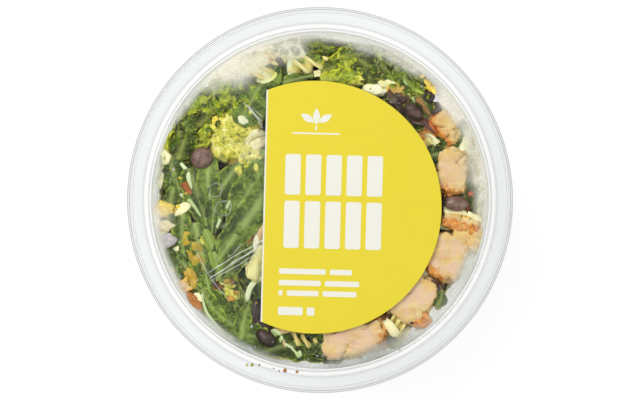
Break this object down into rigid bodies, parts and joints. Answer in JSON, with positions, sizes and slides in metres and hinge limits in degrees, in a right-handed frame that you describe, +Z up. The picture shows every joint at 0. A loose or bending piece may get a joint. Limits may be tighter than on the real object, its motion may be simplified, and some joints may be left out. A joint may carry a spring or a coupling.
{
  "type": "caesar salad tub",
  "caption": "Chilled caesar pasta salad with leaves, chicken, olives and shaved hard cheese in a shut, clear round tub with a round sticker on its clear lid.",
  "frame": {"origin": "on the table, under the middle of the tub", "axes": "+Z up along the tub's axis, +Y towards the top of the label, +X to the label's right"},
  "size_m": [0.15, 0.15, 0.056],
  "materials": {
    "clear_plastic": "clear gloss",
    "label": "satin print on film",
    "salad": "moist leaves",
    "chicken": "moist cooked meat",
    "olive": "moist glossy skin",
    "pasta": "moist cooked pasta",
    "cheese": "waxy hard cheese"
  },
  "bodies": {
    "root": {"tub": "clear_plastic", "lid": "clear_plastic", "label": "label", "salad": "salad", "chicken_1": "chicken", "chicken_2": "chicken", "chicken_3": "chicken", "chicken_4": "chicken", "chicken_5": "chicken", "chicken_6": "chicken", "olive_1": "olive", "olive_2": "olive", "olive_3": "olive", "olive_4": "olive", "pasta_1": "pasta", "pasta_2": "pasta", "pasta_3": "pasta", "pasta_4": "pasta", "pasta_5": "pasta", "cheese_1": "cheese", "cheese_2": "cheese"}
  },
  "joints": []
}
